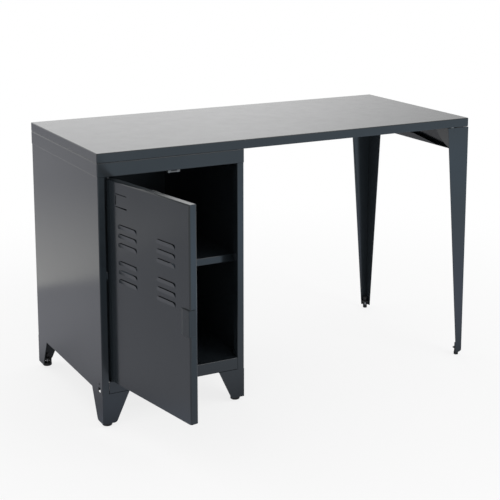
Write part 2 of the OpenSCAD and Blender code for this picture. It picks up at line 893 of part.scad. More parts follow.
// The back rail: from the cabinet to the return of the rear tall leg, with an end plate at each end
module back_rail() {
    x0 = cap_right_x;
    y1 = back_y - leg_t;
    color(dark_steel)
        difference() {
            union() {
                difference() {
                    translate([x0, 0, 0])
                        rotate([90, 0, 90])
                            linear_extrude(right_x - x0 - tall_leg_w / 2)
                                bent_strip([[y1 - rail_flange, rail_z], [y1, rail_z], [y1, head_z],
                                    [y1 - rail_flange, head_z]], rail_t, fold_r);
                    at_corner(5)
                        ear_frame()
                            translate([-tall_leg_w, -leg_t, -2 * rail_h])
                                cube([tall_leg_w + rail_t / 2, 2 * rail_flange, 3 * rail_h]);
                }
                translate([x0, y1 - rail_flange, rail_z + rail_t / 2])
                    cube([rail_t, rail_flange - rail_t / 2, rail_h - rail_t]);
                at_corner(5)
                    ear_frame()
                        translate([0, leg_t + rail_t / 2, rail_t - rail_h])
                            cube([rail_t, rail_flange - rail_t / 2, rail_h - rail_t - 1]);
            }
            back_rail_bolt_places()
                translate([0, 0, -rail_t - 1])
                    cylinder(h = rail_t + 2, r = rail_bolt_r + bolt_gap);
        }
}

// The back rail's bolts stand on the inner faces of its end plates
module cap_end_bolt_place() {
    translate([cap_right_x + rail_t, back_y - rail_end_in, rail_end_z])
        rotate([0, 90, 0])
            children();
}

module leg_end_bolt_place() {
    at_corner(5)
        ear_frame()
            translate([rail_t, rail_end_in, rail_end_z - head_z])
                rotate([0, 90, 0])
                    children();
}

module back_rail_bolt_places() {
    cap_end_bolt_place()
        children();
    leg_end_bolt_place()
        children();
}

// Fasteners

module cab_leg_bolts() {
    color(zinc)
        cab_leg_bolt_places()
            translate([0, 0, -leg_t])
                mirror([0, 0, 1])
                    bolt(leg_bolt_r, leg_t + sheet_t + nut_h + bolt_out);
}

module cab_leg_nuts() {
    color(zinc)
        cab_leg_bolt_places()
            translate([0, 0, sheet_t])
                nut(leg_bolt_r);
}

// The side rail's bolts stand on the leg's outer face
module side_rail_bolt_places() {
    for (s = [-1, 1])
        for (k = [0, 1])
            translate([right_x, s * (back_y - rail_bolt_in), rail_z + rail_bolt_low + k * rail_bolt_step])
                rotate([0, 90, 0])
                    children();
}

module side_rail_bolts() {
    color(zinc)
        side_rail_bolt_places()
            bolt(rail_bolt_r, leg_t + rail_t + nut_h + bolt_out);
}

module side_rail_nuts() {
    color(zinc)
        side_rail_bolt_places()
            translate([0, 0, -leg_t - rail_t])
                mirror([0, 0, 1])
                    nut(rail_bolt_r);
}

module back_rail_bolts() {
    color(zinc)
        back_rail_bolt_places()
            bolt(rail_bolt_r, rail_t + leg_t + nut_h + bolt_out);
}

module back_rail_nuts() {
    color(zinc)
        union() {
            cap_end_bolt_place()
                translate([0, 0, -rail_t - sheet_t - nut_h])
                    nut(rail_bolt_r);
            leg_end_bolt_place()
                translate([0, 0, -rail_t - leg_t - nut_h])
                    nut(rail_bolt_r);
        }
}

// The tabletop's bolts pass through its lip: four from the cap, two from the tall legs
module cap_bolt_places() {
    for (x = [left_x + cap_bolt_side, cap_right_x - cap_bolt_side])
        for (s = [-1, 1])
            translate([x, s * (back_y - top_bolt_in), under_z])
                children();
}

module leg_tab_bolt_places() {
    for (s = [-1, 1])
        translate([right_x - tall_leg_w + tab_l / 2, s * (back_y - top_bolt_in), under_z])
            children();
}

module tabletop_bolt_places() {
    cap_bolt_places()
        children();
    leg_tab_bolt_places()
        children();
}

module tabletop_bolts() {
    color(zinc)
        union() {
            cap_bolt_places()
                translate([0, 0, -sheet_t])
                    mirror([0, 0, 1])
                        bolt(rail_bolt_r, 2 * sheet_t + nut_h + bolt_out);
            leg_tab_bolt_places()
                translate([0, 0, -top_seam - leg_t])
                    mirror([0, 0, 1])
                        bolt(rail_bolt_r, leg_t + top_seam + sheet_t + nut_h + bolt_out);
        }
}

module top_spacers() {
    color(zinc)
        leg_tab_bolt_places()
            translate([0, 0, -top_seam])
                difference() {
                    cylinder(h = top_seam, r = spacer_r);
                    translate([0, 0, -1])
                        cylinder(h = top_seam + 2, r = rail_bolt_r + bolt_gap);
                }
}

module tabletop_nuts() {
    color(zinc)
        tabletop_bolt_places()
            translate([0, 0, sheet_t])
                nut(rail_bolt_r);
}

// Feet

// A foot insert: two walls against the leg and a plate on top, which the screw passes through
module foot_insert(i) {
    w = in_cabinet(i) ? insert_w : tall_insert_w;
    color(black_plastic)
        at_corner(i)
            difference() {
                translate([leg_t, leg_t, insert_z])
                    cube([w, w, insert_h]);
                translate([leg_t + insert_wall, leg_t + insert_wall, insert_z - 1])
                    cube([w, w, insert_h - insert_t + 1]);
                translate([foot_inset(i), foot_inset(i), insert_z - 1])
                    cylinder(h = insert_h + 2, r = foot_screw_r + foot_screw_gap);
            }
}

module foot_insert_1() {
    foot_insert(0);
}

module foot_insert_2() {
    foot_insert(1);
}

module foot_insert_3() {
    foot_insert(2);
}

module foot_insert_4() {
    foot_insert(3);
}

module foot_insert_5() {
    foot_insert(4);
}

module foot_insert_6() {
    foot_insert(5);
}

// A glide pad: a neck round the screw's end, and under the cabinet a wider base
module glide_pad(i) {
    r = in_cabinet(i) ? pad_r : pad_neck_r;
    h = in_cabinet(i) ? pad_base_h : pad_h;
    color(black_plastic)
        at_corner(i)
            translate([foot_inset(i), foot_inset(i), 0])
                rotate_extrude()
                    difference() {
                        union() {
                            square([r - pad_edge_r, h]);
                            translate([0, pad_edge_r])
                                square([r, h - pad_edge_r]);
                            translate([r - pad_edge_r, pad_edge_r])
                                circle(pad_edge_r);
                            square([pad_neck_r - pad_edge_r, pad_h]);
                            translate([0, pad_edge_r])
                                square([pad_neck_r, pad_h - pad_edge_r]);
                        }
                        translate([0, pad_h - pad_socket])
                            square([foot_screw_r, pad_h]);
                    }
}

module glide_screw(i) {
    color(zinc)
        at_corner(i)
            translate([foot_inset(i), foot_inset(i), pad_h - pad_socket])
                cylinder(h = foot_screw_l + pad_socket, r = foot_screw_r);
}

module glide_pad_1() {
    glide_pad(0);
}

module glide_pad_2() {
    glide_pad(1);
}

module glide_pad_3() {
    glide_pad(2);
}

module glide_pad_4() {
    glide_pad(3);
}

module glide_pad_5() {
    glide_pad(4);
}

module glide_pad_6() {
    glide_pad(5);
}

module glide_screw_1() {
    glide_screw(0);
}

module glide_screw_2() {
    glide_screw(1);
}

module glide_screw_3() {
    glide_screw(2);
}

module glide_screw_4() {
    glide_screw(3);
}

module glide_screw_5() {
    glide_screw(4);
}

module glide_screw_6() {
    glide_screw(5);
}

// Door

bush_flange = 1;

// Places what is drawn for the closed door, from its hinge edge, face and foot, at the open angle
module door_frame() {
    translate([pivot_x, pivot_y, 0])
        rotate([0, 0, -door_open])
            translate([-pivot_side, -pivot_back, door_z])
                children();
}

louvre_places = [for (z0 = [louvre_high, louvre_low]) for (k = [0 : 2]) for (c = [0, 1])
    [c == 0 ? louvre_u1 : louvre_u2, z0 - k * louvre_step, c == 0 ? louvre_w1 : louvre_w2]];

// The outline of a louvre's arch, seen from the front: its two upper corners are round.
// With an inset it is what stays inside the slit
module louvre_arch(w, inset = 0) {
    translate([inset, -louvre_h])
        square([w - 2 * inset, louvre_h - louvre_r]);
    translate([louvre_r, -louvre_h])
        square([w - 2 * louvre_r, louvre_h - inset]);
    for (x = [louvre_r, w - louvre_r])
        translate([x, -louvre_r])
            circle(louvre_r - inset);
}

// The flap pressed out inside a louvre's slit: it leans out from its lower edge
module louvre_flap(w) {
    intersection() {
        rotate([90, 0, 0])
            translate([0, 0, -sheet_t - 1])
                linear_extrude(louvre_out + sheet_t + 2)
                    louvre_arch(w, louvre_slit);
        rotate([90, 0, 90])
            linear_extrude(w)
                polygon([[0, -louvre_h], [sheet_t, -louvre_h], [sheet_t - louvre_out, 0], [-louvre_out, 0]]);
    }
}

module door_panel() {
    color(steel)
        door_frame()
            union() {
                difference() {
                    cube([door_w, door_t, door_h]);
                    translate([sheet_t, sheet_t, sheet_t])
                        cube([door_w - 2 * sheet_t, door_t - 2 * sheet_t, door_h - 2 * sheet_t]);
                    translate([door_lip, sheet_t, door_lip])
                        cube([door_w - 2 * door_lip, door_t, door_h - 2 * door_lip]);
                    for (z = [-1, door_h - sheet_t - 1])
                        translate([pivot_side, pivot_back, z])
                            cylinder(h = sheet_t + 2, r = bush_r + 0.02);
                    for (p = louvre_places)
                        translate([p[0], 0, p[1]])
                            rotate([90, 0, 0])
                                translate([0, 0, -sheet_t - 1])
                                    linear_extrude(sheet_t + 2)
                                        louvre_arch(p[2]);
                    card_slits();
                    for (z = [handle_z + handle_h / 4, handle_z + 3 * handle_h / 4])
                        translate([rivet_u, -1, z])
                            rotate([-90, 0, 0])
                                cylinder(h = sheet_t + 2, r = rivet_r + 0.02);
                }
                for (p = louvre_places)
                    translate([p[0], 0, p[1]])
                        louvre_flap(p[2]);
            }
}

module card_slits() {
    translate([card_u, -1, card_z + card_h])
        cube([card_w, sheet_t + 2, card_slit]);
    translate([card_u, -1, card_z])
        cube([card_w, sheet_t + 2, card_slit]);
    translate([card_u, -1, card_z + 3 * card_slit])
        cube([card_slit, sheet_t + 2, card_h - 5 * card_slit]);
}

module door_stiffener() {
    u0 = door_rib_u - door_rib_w / 2;
    color(dark_steel)
        door_frame()
            translate([u0, sheet_t, door_lip + 4])
                linear_extrude(door_h - 2 * door_lip - 8)
                    union() {
                        translate([0, door_rib_d - sheet_t])
                            square([door_rib_w, sheet_t]);
                        for (u = [0, door_rib_w - sheet_t])
                            translate([u, 0])
                                square([sheet_t, door_rib_d]);
                        translate([-10, 0])
                            square([10 + sheet_t, sheet_t]);
                        translate([door_rib_w - sheet_t, 0])
                            square([10 + sheet_t, sheet_t]);
                    }
}

rivet_u = door_w - 11;

module door_handle() {
    u0 = door_w + handle_wrap - handle_w;
    color(steel)
        door_frame()
            translate([0, 0, handle_z])
                difference() {
                    linear_extrude(handle_h)
                        polygon([[u0, 0], [u0, -handle_thin], [u0 + handle_slope_w, -handle_t], [door_w + handle_wrap - 1.5, -handle_t],
                            [door_w + handle_wrap - 0.4, -handle_t + 0.4], [door_w + handle_wrap, -handle_t + 1.5],
                            [door_w + handle_wrap, handle_wrap_d], [door_w, handle_wrap_d], [door_w, 0]]);
                    for (z = [handle_h / 4, 3 * handle_h / 4])
                        translate([rivet_u, -handle_t + 1, z])
                            rotate([-90, 0, 0])
                                cylinder(h = handle_t + 2, r = rivet_r + 0.02);
                }
}

module handle_rivets() {
    color(zinc)
        door_frame()
            for (z = [handle_z + handle_h / 4, handle_z + 3 * handle_h / 4])
                translate([rivet_u, -handle_t + 1, z])
                    rotate([-90, 0, 0])
                        union() {
                            cylinder(h = handle_t - 1 + sheet_t + 0.5, r = rivet_r);
                            translate([0, 0, handle_t - 1 + sheet_t])
                                cylinder(h = 1.4, r = rivet_r + 1.8);
                        }
}

module door_keeper() {
    color(zinc)
        door_frame()
            translate([keeper_x - catch_w / 2 - door_l, door_t, door_h - door_lip])
                cube([catch_w, keeper_t, door_lip - sheet_t]);
}

module door_bushes() {
    color(black_plastic)
        door_frame()
            for (top = [0, 1])
                translate([pivot_side, pivot_back, top == 1 ? door_h : 0])
                    mirror([0, 0, top == 1 ? 0 : 1])
                        difference() {
                            union() {
                                translate([0, 0, -sheet_t - 3])
                                    cylinder(h = sheet_t + 3, r = bush_r);
                                cylinder(h = bush_flange, r = bush_r + 0.8);
                            }
                            translate([0, 0, -sheet_t - 4])
                                cylinder(h = sheet_t + 6, r = pin_r + pin_gap);
                        }
}

desk_top();
top_stiffener_front();
top_stiffener_rear();
cabinet_cap();
left_side_panel();
right_side_panel();
back_panel();
bottom_panel();
shelf();
shelf_clips();
catch_housing();
catch_magnet();
catch_screws();
upper_pivot_pin();
lower_pivot_pin();
cab_leg_front_left();
cab_leg_front_right();
cab_leg_rear_left();
cab_leg_rear_right();
tall_leg_front();
tall_leg_rear();
side_rail();
back_rail();
cab_leg_bolts();
cab_leg_nuts();
side_rail_bolts();
side_rail_nuts();
back_rail_bolts();
back_rail_nuts();
tabletop_bolts();
tabletop_nuts();
top_spacers();
foot_insert_1();
foot_insert_2();
foot_insert_3();
foot_insert_4();
foot_insert_5();
foot_insert_6();
glide_pad_1();
glide_pad_2();
glide_pad_3();
glide_pad_4();
glide_pad_5();
glide_pad_6();
glide_screw_1();
glide_screw_2();
glide_screw_3();
glide_screw_4();
glide_screw_5();
glide_screw_6();
door_panel();
door_stiffener();
door_handle();
handle_rivets();
door_keeper();
door_bushes();
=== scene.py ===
import json
import math

import bmesh
import bpy
from mathutils import Matrix, Vector


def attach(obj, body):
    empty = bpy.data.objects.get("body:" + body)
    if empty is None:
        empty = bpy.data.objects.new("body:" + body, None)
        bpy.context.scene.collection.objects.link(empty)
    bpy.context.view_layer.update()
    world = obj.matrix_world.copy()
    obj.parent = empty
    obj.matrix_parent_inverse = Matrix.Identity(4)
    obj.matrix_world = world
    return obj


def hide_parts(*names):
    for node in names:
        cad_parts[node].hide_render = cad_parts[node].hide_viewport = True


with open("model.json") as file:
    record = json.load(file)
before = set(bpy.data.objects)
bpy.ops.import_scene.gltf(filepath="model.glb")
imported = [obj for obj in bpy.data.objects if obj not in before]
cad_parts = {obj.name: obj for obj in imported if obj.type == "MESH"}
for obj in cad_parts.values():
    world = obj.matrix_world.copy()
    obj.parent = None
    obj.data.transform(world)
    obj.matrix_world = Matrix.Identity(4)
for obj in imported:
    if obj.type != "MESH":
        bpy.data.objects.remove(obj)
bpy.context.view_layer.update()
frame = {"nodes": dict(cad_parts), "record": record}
nodes = frame["nodes"]
slots = {part["node"]: part["material_slot"] for part in frame["record"]["subparts"]}
bodies = {}
for body, members in frame["record"]["behaviour"]["bodies"].items():
    bodies.update(dict.fromkeys(members, body))
MM = 0.001

# Colours and shader nodes

MIX_FROM = 6
MIX_TO = 7
MIX_COLOUR = 2


def linear(code):
    """An sRGB hex colour as linear RGBA."""
    parts = [int(code[i:i + 2], 16) / 255 for i in (1, 3, 5)]
    return [c / 12.92 if c <= 0.04045 else ((c + 0.055) / 1.055) ** 2.4 for c in parts] + [1.0]


def add(tree, kind, settings=None, links=None):
    """Adds a shader node, sets its properties and inputs, and links sockets to its inputs."""
    made = tree.nodes.new("ShaderNode" + kind)
    for key, value in (settings or {}).items():
        if isinstance(key, str) and hasattr(made, key):
            setattr(made, key, value)
        else:
            made.inputs[key].default_value = value
    for key, source in (links or {}).items():
        tree.links.new(source, made.inputs[key])
    return made


def new_material(name):
    """A material with one Principled shader, and the tree and place to build on."""
    made = bpy.data.materials.new(name)
    made.use_nodes = True
    tree = made.node_tree
    return made, tree, tree.nodes["Principled BSDF"], add(tree, "TexCoord").outputs["Object"]


# Finishes: each noise is stretched from its middle values to the whole range of a tone or a gloss

SOFT = {"From Min": 0.3, "From Max": 0.7}


def powder_coat():
    """Polyester powder coat in anthracite, sprayed dry and baked. It is a satin skin that mirrors softly at a
    flat angle. Its waves, called orange peel, are 2 to 3 mm long and about 0.01 mm high."""
    made, tree, shader, place = new_material("anthracite_powder_coat")
    clouds = add(tree, "TexNoise", {"Scale": 1 / (180 * MM), "Detail": 3.0}, {"Vector": place})
    depth = add(tree, "MapRange", SOFT, {"Value": clouds.outputs["Fac"]})
    tone = add(tree, "Mix", {"data_type": "RGBA", MIX_FROM: linear("#1e2327"), MIX_TO: linear("#22272b")},
               {0: depth.outputs["Result"]})
    tree.links.new(tone.outputs[MIX_COLOUR], shader.inputs["Base Color"])
    haze = add(tree, "TexNoise", {"Scale": 1 / (35 * MM), "Detail": 4.0}, {"Vector": place})
    gloss = add(tree, "MapRange", {**SOFT, "To Min": 0.15, "To Max": 0.185},
                {"Value": haze.outputs["Fac"]})
    tree.links.new(gloss.outputs["Result"], shader.inputs["Roughness"])
    peel = add(tree, "TexNoise", {"Scale": 1 / (2.5 * MM), "Detail": 1.0}, {"Vector": place})
    waves = add(tree, "Bump", {"Distance": 0.01 * MM}, {"Height": peel.outputs["Fac"]})
    tree.links.new(waves.outputs["Normal"], shader.inputs["Normal"])
    shader.inputs["IOR"].default_value = 1.5
    return made


def textured_coat():
    """The same coat with a fine structure, which hides finger marks: it scatters what it mirrors. The
    structure is about 0.4 mm across and 0.03 mm high."""
    made, tree, shader, place = new_material("anthracite_fine_texture_coat")
    grains = add(tree, "TexNoise", {"Scale": 1 / (0.4 * MM), "Detail": 2.0}, {"Vector": place})
    depth = add(tree, "MapRange", SOFT, {"Value": grains.outputs["Fac"]})
    tone = add(tree, "Mix", {"data_type": "RGBA", MIX_FROM: linear("#20252a"), MIX_TO: linear("#242a2e")},
               {0: depth.outputs["Result"]})
    tree.links.new(tone.outputs[MIX_COLOUR], shader.inputs["Base Color"])
    gloss = add(tree, "MapRange", {**SOFT, "To Min": 0.38, "To Max": 0.46},
                {"Value": grains.outputs["Fac"]})
    tree.links.new(gloss.outputs["Result"], shader.inputs["Roughness"])
    structure = add(tree, "Bump", {"Distance": 0.03 * MM}, {"Height": grains.outputs["Fac"]})
    tree.links.new(structure.outputs["Normal"], shader.inputs["Normal"])
    shader.inputs["IOR"].default_value = 1.45
    return made


def zinc_plate():
    """Bright zinc on steel, barrel plated and passivated: a soft cloudy silver with a little blue."""
    made, tree, shader, place = new_material("zinc_plated_steel")
    clouds = add(tree, "TexNoise", {"Scale": 1 / (3 * MM), "Detail": 3.0}, {"Vector": place})
    depth = add(tree, "MapRange", SOFT, {"Value": clouds.outputs["Fac"]})
    tone = add(tree, "Mix", {"data_type": "RGBA", MIX_FROM: linear("#b4b8bb"), MIX_TO: linear("#c9cbcb")},
               {0: depth.outputs["Result"]})
    tree.links.new(tone.outputs[MIX_COLOUR], shader.inputs["Base Color"])
    gloss = add(tree, "MapRange", {**SOFT, "To Min": 0.24, "To Max": 0.36},
                {"Value": clouds.outputs["Fac"]})
    tree.links.new(gloss.outputs["Result"], shader.inputs["Roughness"])
    scratches = add(tree, "TexNoise", {"Scale": 1 / (0.4 * MM)}, {"Vector": place})
    marks = add(tree, "Bump", {"Distance": 0.01 * MM}, {"Height": scratches.outputs["Fac"]})
    tree.links.new(marks.outputs["Normal"], shader.inputs["Normal"])
    shader.inputs["Metallic"].default_value = 1.0
    return made


def black_nylon():
    """Glass-filled nylon, injection moulded: near black and dull, with a fine spark-eroded skin."""
    made, tree, shader, place = new_material("black_nylon")
    skin = add(tree, "TexNoise", {"Scale": 1 / (0.6 * MM), "Detail": 3.0}, {"Vector": place})
    depth = add(tree, "MapRange", SOFT, {"Value": skin.outputs["Fac"]})
    tone = add(tree, "Mix", {"data_type": "RGBA", MIX_FROM: linear("#121314"), MIX_TO: linear("#1a1b1c")},
               {0: depth.outputs["Result"]})
    tree.links.new(tone.outputs[MIX_COLOUR], shader.inputs["Base Color"])
    gloss = add(tree, "MapRange", {**SOFT, "To Min": 0.42, "To Max": 0.58},
                {"Value": skin.outputs["Fac"]})
    tree.links.new(gloss.outputs["Result"], shader.inputs["Roughness"])
    sparks = add(tree, "Bump", {"Distance": 0.02 * MM}, {"Height": skin.outputs["Fac"]})
    tree.links.new(sparks.outputs["Normal"], shader.inputs["Normal"])
    return made


def grey_abs():
    """ABS, injection moulded in grey: smooth and half dull, with faint flow clouds."""
    made, tree, shader, place = new_material("grey_abs")
    flow = add(tree, "TexNoise", {"Scale": 1 / (8 * MM)}, {"Vector": place})
    depth = add(tree, "MapRange", SOFT, {"Value": flow.outputs["Fac"]})
    tone = add(tree, "Mix", {"data_type": "RGBA", MIX_FROM: linear("#787b7d"), MIX_TO: linear("#828587")},
               {0: depth.outputs["Result"]})
    tree.links.new(tone.outputs[MIX_COLOUR], shader.inputs["Base Color"])
    gloss = add(tree, "MapRange", {**SOFT, "To Min": 0.36, "To Max": 0.46},
                {"Value": flow.outputs["Fac"]})
    tree.links.new(gloss.outputs["Result"], shader.inputs["Roughness"])
    skin = add(tree, "TexNoise", {"Scale": 1 / (0.5 * MM)}, {"Vector": place})
    frosting = add(tree, "Bump", {"Distance": 0.008 * MM}, {"Height": skin.outputs["Fac"]})
    tree.links.new(frosting.outputs["Normal"], shader.inputs["Normal"])
    return made


def ferrite():
    """Sintered ferrite, ground flat: charcoal grey and dull, with fine pores."""
    made, tree, shader, place = new_material("sintered_ferrite")
    pores = add(tree, "TexVoronoi", {"Scale": 1 / (0.5 * MM)}, {"Vector": place})
    tone = add(tree, "Mix", {"data_type": "RGBA", MIX_FROM: linear("#1c1c1e"), MIX_TO: linear("#2b2b2d")},
               {0: pores.outputs["Distance"]})
    tree.links.new(tone.outputs[MIX_COLOUR], shader.inputs["Base Color"])
    pits = add(tree, "Bump", {"Distance": 0.02 * MM}, {"Height": pores.outputs["Distance"]})
    tree.links.new(pits.outputs["Normal"], shader.inputs["Normal"])
    shader.inputs["Roughness"].default_value = 0.6
    return made


finishes = {
    "powder_coat": powder_coat(),
    "zinc_plate": zinc_plate(),
    "black_plastic": black_nylon(),
    "grey_plastic": grey_abs(),
    "ferrite": ferrite(),
}
for node, slot in slots.items():
    nodes[node].data.materials.clear()
    nodes[node].data.materials.append(finishes[slot])

# Making pieces

WELD = 0.01 * MM
FLAT = math.radians(0.4)
FOLD = math.radians(50)
BEND = math.radians(35)
BROAD = 2.2 * MM
ROUND_STEPS = 4


def breadth(face):
    """The width of a long narrow face."""
    return 2 * face.calc_area() / face.calc_perimeter()


def as_piece(bm, name, *replaced, node=None, finish=None):
    """Makes a mesh object of the shape, with the body and slot of a node. It stands for the replaced ones."""
    for face in bm.faces:
        around = [edge.calc_face_angle(math.pi) for edge in face.edges if len(edge.link_faces) == 2]
        face.smooth = breadth(face) < 2 * BROAD and min(around, default=math.pi) < BEND
    mesh = bpy.data.meshes.new(name)
    bm.to_mesh(mesh)
    bm.free()
    piece = bpy.data.objects.new(name, mesh)
    bpy.context.scene.collection.objects.link(piece)
    like = node or replaced[0]
    mesh.materials.append(finish or finishes[slots[like]])
    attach(piece, bodies[like])
    if replaced:
        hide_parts(*replaced)


def merged(node):
    """A copy of a node's mesh, its triangles joined and each flat area made one face."""
    bm = bmesh.new()
    bm.from_mesh(nodes[node].data)
    bmesh.ops.remove_doubles(bm, verts=bm.verts, dist=WELD)
    bmesh.ops.dissolve_limit(bm, angle_limit=FLAT, verts=bm.verts, edges=bm.edges)
    return bm


def is_fold(edge, side, shortest):
    """Whether two sheet faces meet at an edge, outside a fold (side 1) or inside it (side -1)."""
    length = edge.calc_length()
    if len(edge.link_faces) != 2 or length <= max(shortest, WELD):
        return False
    if side * edge.calc_face_angle_signed(0) < FOLD:
        return False
    reach = min(face.calc_area() / length for face in edge.link_faces)
    return reach > BROAD and max(map(breadth, edge.link_faces)) > BROAD


def round_folds(bm, radius, side=1, shortest=0.0, low=-math.inf, high=math.inf):
    """Rounds the folds that lie between two heights, as a press brake leaves them."""
    folds = []
    for edge in bm.edges:
        heights = [vert.co.z for vert in edge.verts]
        if low < min(heights) and max(heights) < high and is_fold(edge, side, shortest):
            folds.append(edge)
    bmesh.ops.bevel(bm, geom=folds, offset=radius, offset_type="OFFSET", segments=ROUND_STEPS, profile=0.5,
                    affect="EDGES", clamp_overlap=True, material=-1)


def strip(bm, low, high, broken):
    """A flat strip between two corners, with its edges broken."""
    low = Vector(low)
    high = Vector(high)
    verts = bmesh.ops.create_cube(bm, size=1)["verts"]
    bmesh.ops.scale(bm, verts=verts, vec=high - low)
    bmesh.ops.translate(bm, verts=verts, vec=(high + low) / 2)
    edges = list(dict.fromkeys(edge for vert in verts for edge in vert.link_edges))
    bmesh.ops.bevel(bm, geom=edges, offset=broken, segments=2, profile=0.5, affect="EDGES", material=-1)


def turned(bm, profile, middle, axis=(0, 0, 1), steps=32):
    """A turned shape: a profile of (radius, height) pairs in mm is spun round an axis through the middle."""
    out = Vector(axis).orthogonal().normalized()
    verts = []
    for radius, height in profile:
        verts.append(bm.verts.new(Vector(middle) + out * radius * MM + Vector(axis) * height * MM))
    edges = [bm.edges.new(pair) for pair in zip(verts, verts[1:])]
    bmesh.ops.spin(bm, geom=verts + edges, cent=middle, axis=axis, angle=math.tau, steps=steps,
                   use_merge=True)
    bmesh.ops.remove_doubles(bm, verts=bm.verts, dist=WELD)
    bmesh.ops.recalc_face_normals(bm, faces=bm.faces)


# Tabletop and cap: each is a folded tray, and the seam between them is tight

TOP_MIDDLE = 0.745
TOP_UPPER_R = 2.0 * MM
TOP_LOWER_R = 0.7 * MM
CAP_MIDDLE = 0.71
CAP_UPPER_R = 2.6 * MM
CAP_LOWER_R = 1.8 * MM

tabletop = merged("desk_top")
round_folds(tabletop, TOP_UPPER_R, low=TOP_MIDDLE)
round_folds(tabletop, TOP_LOWER_R, high=TOP_MIDDLE)
as_piece(tabletop, "folded_tabletop", "desk_top")

cap = merged("cabinet_cap")
round_folds(cap, CAP_UPPER_R, low=CAP_MIDDLE)
round_folds(cap, CAP_LOWER_R, high=CAP_MIDDLE)
as_piece(cap, "folded_cap", "cabinet_cap")

# Legs and side rail

LEGS = {
    "cab_leg_front_left": "left_front_leg",
    "cab_leg_front_right": "middle_front_leg",
    "cab_leg_rear_left": "left_rear_leg",
    "cab_leg_rear_right": "middle_rear_leg",
    "tall_leg_front": "right_front_leg",
    "tall_leg_rear": "right_rear_leg",
}
LEG_OUTER_R = 2.5 * MM
LEG_INNER_R = 2.0 * MM
LEG_FOLD_LEAST = 12 * MM
LEG_INNER_LEAST = 40 * MM
RAIL_R = 1.8 * MM
RAIL_FOLD_LEAST = 20 * MM

for node, word in LEGS.items():
    angle = merged(node)
    round_folds(angle, LEG_OUTER_R, shortest=LEG_FOLD_LEAST)
    round_folds(angle, LEG_INNER_R, side=-1, shortest=LEG_INNER_LEAST)
    as_piece(angle, "folded_" + word, node)

rail = merged("side_rail")
round_folds(rail, RAIL_R, shortest=RAIL_FOLD_LEAST)
as_piece(rail, "folded_side_rail", "side_rail")

# Door, worked on in its closed place: x from the hinge edge, y into the door, z from the door's foot

DOOR_OPEN = math.radians(80)
DOOR_PIVOT = Vector((-0.5684, -0.2678, 0))
DOOR_CORNER = Vector((0.0081, 0.0042, -0.1315))
DOOR_R = 3.4 * MM
DOOR_FOLD_LEAST = 100 * MM
LOUVRE_TOPS = (0.4445, 0.347)
LOUVRE_SPANS = ((0.061, 0.148), (0.240, 0.321))
LOUVRE_ROWS = 3
LOUVRE_STEP = 0.0245
LOUVRE_H = 0.012
LOUVRE_TAIL = 0.0095
CARD_SLIT_X = 0.051
CARD_SLIT_Z = (0.4944, 0.5186)
CARD_SLIT_WIDER = 2.6 * MM
CARD_END = (0.104, 0.4895)
CARD_END_REACH = 1.5 * MM
CARD_END_WIDER = 1.0 * MM
SAME_PLACE = 0.1 * MM

closed_from_open = Matrix.Rotation(DOOR_OPEN, 4, "Z") @ Matrix.Translation(-DOOR_PIVOT)
closed_from_open = Matrix.Translation(DOOR_CORNER) @ closed_from_open
open_from_closed = closed_from_open.inverted()


def close_louvre(bm, left, right, foot):
    """Draws the lower ends of a louvre's slit up to the foot of its flap, so that no daylight shows there."""
    for vert in bm.verts:
        if left < vert.co.x < right and foot - LOUVRE_TAIL < vert.co.z < foot:
            vert.co.z = foot


door = merged("door_panel")
bmesh.ops.transform(door, matrix=closed_from_open, verts=door.verts)
for top in LOUVRE_TOPS:
    for left, right in LOUVRE_SPANS:
        for row in range(LOUVRE_ROWS):
            close_louvre(door, left, right, top - row * LOUVRE_STEP - LOUVRE_H)
for vert in door.verts:
    if abs(vert.co.x - CARD_SLIT_X) < SAME_PLACE and CARD_SLIT_Z[0] < vert.co.z < CARD_SLIT_Z[1]:
        vert.co.x += CARD_SLIT_WIDER
    if abs(vert.co.x - CARD_END[0]) < SAME_PLACE and abs(vert.co.z - CARD_END[1]) < CARD_END_REACH:
        vert.co.z += CARD_END_WIDER if vert.co.z > CARD_END[1] else -CARD_END_WIDER
round_folds(door, DOOR_R, shortest=DOOR_FOLD_LEAST)
bmesh.ops.transform(door, matrix=open_from_closed, verts=door.verts)
as_piece(door, "folded_door", "door_panel")

# Guide behind the upright card slit: it closes the view through the slit

GUIDE_LOW = (0.046, 0.00125, 0.491)
GUIDE_HIGH = (0.0565, 0.00225, 0.522)
GUIDE_BROKEN = 0.25 * MM

guide = bmesh.new()
strip(guide, GUIDE_LOW, GUIDE_HIGH, GUIDE_BROKEN)
bmesh.ops.transform(guide, matrix=open_from_closed, verts=guide.verts)
as_piece(guide, "card_guide", node="door_bushes")

# Handle plate, pressed round the door's free edge

HANDLE_R = 1.4 * MM

handle = merged("door_handle")
round_folds(handle, HANDLE_R)
as_piece(handle, "pressed_handle", "door_handle", finish=textured_coat())

# Laps behind the seams between the plinth and the stiles, and the plug in the side hole

LAPS = [
    ((-0.5784, -0.2708, 0.0966), (-0.5716, -0.2696, 0.1262)),
    ((-0.1984, -0.2708, 0.0966), (-0.1916, -0.2696, 0.1262)),
]
LAP_BROKEN = 0.3 * MM
SIDE_HOLE = (-0.599, -0.2505, 0.1195)
PLUG = [(0, 0.3), (3.2, 0.3), (3.65, 0.7), (3.65, 1.25), (4.8, 1.3), (4.8, 2.0), (0, 2.0)]

laps = bmesh.new()
for low, high in LAPS:
    strip(laps, low, high, LAP_BROKEN)
as_piece(laps, "plinth_laps", node="bottom_panel")

plug = bmesh.new()
turned(plug, PLUG, SIDE_HOLE, axis=(1, 0, 0))
as_piece(plug, "side_hole_plug", node="foot_insert_1")

# Levelling feet, sizes in mm: turned pads, threaded studs, the caps over the studs and the ribs round them

